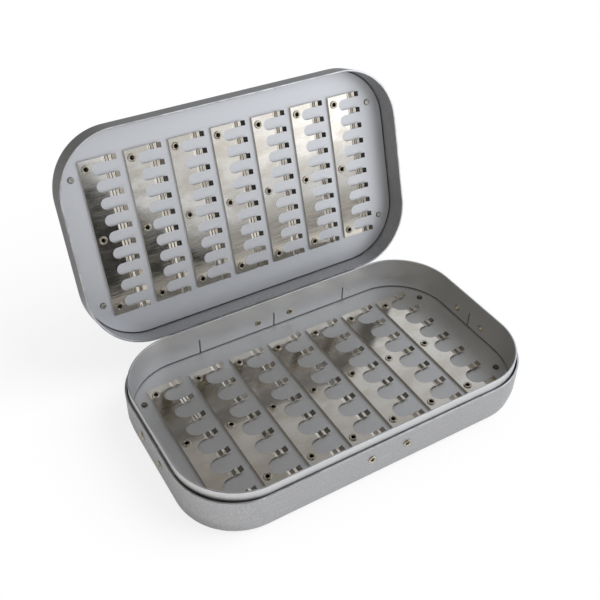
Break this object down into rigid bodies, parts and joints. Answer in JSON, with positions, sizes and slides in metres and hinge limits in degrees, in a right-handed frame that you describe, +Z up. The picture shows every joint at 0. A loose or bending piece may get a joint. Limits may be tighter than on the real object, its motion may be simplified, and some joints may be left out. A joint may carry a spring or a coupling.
{
  "type": "fly box",
  "caption": "Flat pocket-size metal fly box with rounded corners, an open hinged lid, and rows of spring clip strips riveted to plates in the base and in the lid.",
  "frame": {"origin": "centre of the underside of the base, on the surface that the box stands on", "axes": "+X along the hinge, to the side that the clip fingers point to; +Y from the front edge to the hinge; +Z up"},
  "size_m": [0.1534, 0.133, 0.1015],
  "materials": {
    "pan_aluminium": "satin anodised sheet",
    "liner_aluminium": "satin anodised strip",
    "plate_aluminium": "matt anodised sheet",
    "base_clip_steel": "bright rolled spring strip",
    "lid_clip_steel": "bright rolled spring strip",
    "eyelet_metal": "nickelled brass, worn",
    "stud_metal": "plain",
    "hinge_leaf_metal": "satin",
    "hinge_pin_steel": "drawn wire"
  },
  "bodies": {
    "base": {"base_clip_strip_1": "base_clip_steel", "base_clip_strip_2": "base_clip_steel", "base_clip_strip_3": "base_clip_steel", "base_clip_strip_4": "base_clip_steel", "base_clip_strip_5": "base_clip_steel", "base_clip_strip_6": "base_clip_steel", "base_clip_strip_7": "base_clip_steel", "base_floor_plate": "plate_aluminium", "base_hinge_leaf": "hinge_leaf_metal", "base_liner": "liner_aluminium", "base_pan": "pan_aluminium", "base_plate_studs": "stud_metal", "base_strip_eyelets_1": "eyelet_metal", "base_strip_eyelets_2": "eyelet_metal", "base_strip_eyelets_3": "eyelet_metal", "base_strip_eyelets_4": "eyelet_metal", "base_strip_eyelets_5": "eyelet_metal", "base_strip_eyelets_6": "eyelet_metal", "base_strip_eyelets_7": "eyelet_metal", "hinge_pin": "hinge_pin_steel", "wall_eyelets_back": "eyelet_metal", "wall_eyelets_front": "eyelet_metal", "wall_eyelets_left": "eyelet_metal", "wall_eyelets_right": "eyelet_metal"},
    "lid": {"lid_clip_strip_1": "lid_clip_steel", "lid_clip_strip_2": "lid_clip_steel", "lid_clip_strip_3": "lid_clip_steel", "lid_clip_strip_4": "lid_clip_steel", "lid_clip_strip_5": "lid_clip_steel", "lid_clip_strip_6": "lid_clip_steel", "lid_clip_strip_7": "lid_clip_steel", "lid_hinge_leaf": "hinge_leaf_metal", "lid_pan": "pan_aluminium", "lid_plate": "plate_aluminium", "lid_plate_studs": "stud_metal", "lid_strip_eyelets_1": "eyelet_metal", "lid_strip_eyelets_2": "eyelet_metal", "lid_strip_eyelets_3": "eyelet_metal", "lid_strip_eyelets_4": "eyelet_metal", "lid_strip_eyelets_5": "eyelet_metal", "lid_strip_eyelets_6": "eyelet_metal", "lid_strip_eyelets_7": "eyelet_metal"}
  },
  "joints": [
    {"name": "lid_hinge", "type": "hinge", "parent": "base", "child": "lid", "pos_m": [0, 0.046, 0.0161], "axis": [1, 0, 0], "range_deg": [0, 108]}
  ]
}
